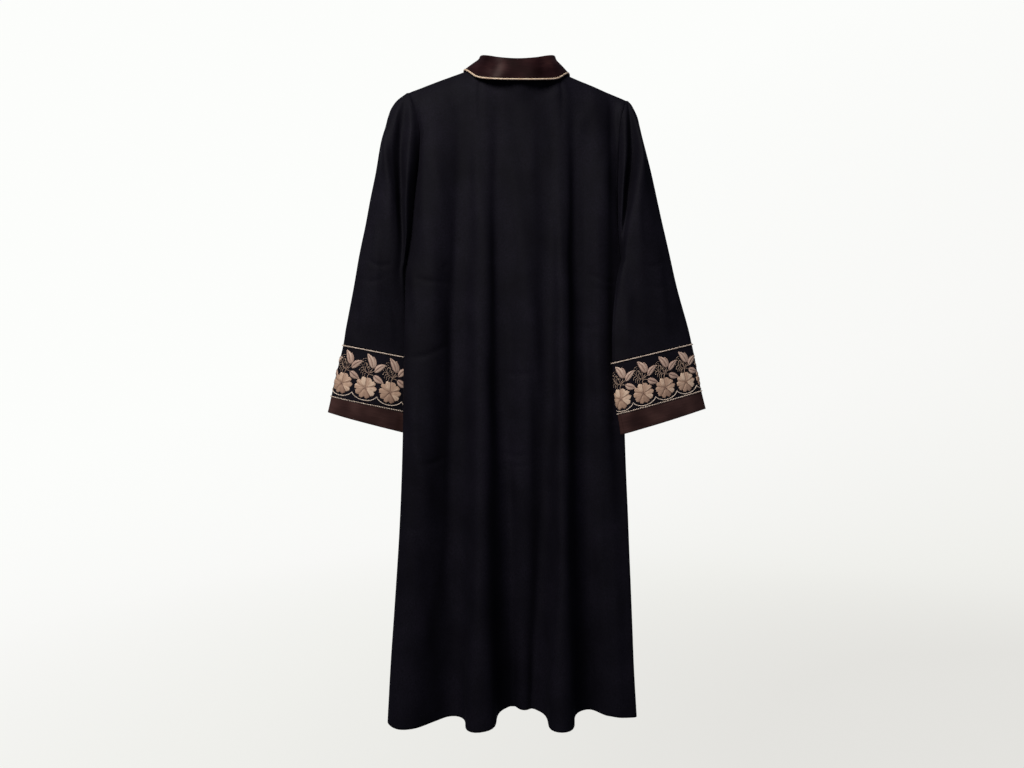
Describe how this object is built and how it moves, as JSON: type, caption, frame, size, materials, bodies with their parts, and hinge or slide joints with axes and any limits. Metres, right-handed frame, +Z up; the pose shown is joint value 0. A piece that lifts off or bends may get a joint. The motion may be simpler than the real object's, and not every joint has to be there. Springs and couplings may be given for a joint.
{
  "type": "abaya cloak",
  "caption": "Full-length open-front black cloak with long straight sleeves, embroidered sleeve bands, satin cuffs and a turned-down satin collar, hanging empty.",
  "frame": {"origin": "centre of the neck opening, level with the neck ends of the shoulder seams, where a wearer's neck or a hanger holds the cloak", "axes": "+Z up, along the hanging cloth; +Y out of the garment's front, so its back faces -Y; +X towards the wearer's right sleeve"},
  "size_m": [0.7554, 0.1504, 1.3327],
  "materials": {
    "crepe": "matte black crepe",
    "embroidery": "black ground with beige flower embroidery",
    "cuff_satin": "brown satin",
    "collar_satin": "dark brown satin",
    "cord": "twisted beige and gold cord"
  },
  "bodies": {
    "root": {"back_panel": "crepe", "front_left": "crepe", "front_right": "crepe", "sleeve_left": "crepe", "sleeve_right": "crepe", "band_left": "embroidery", "band_right": "embroidery", "cuff_left": "cuff_satin", "cuff_right": "cuff_satin", "collar": "collar_satin", "collar_piping": "cord", "band_cord_left": "cord", "band_cord_right": "cord", "cuff_cord_left": "cord", "cuff_cord_right": "cord"}
  },
  "joints": []
}
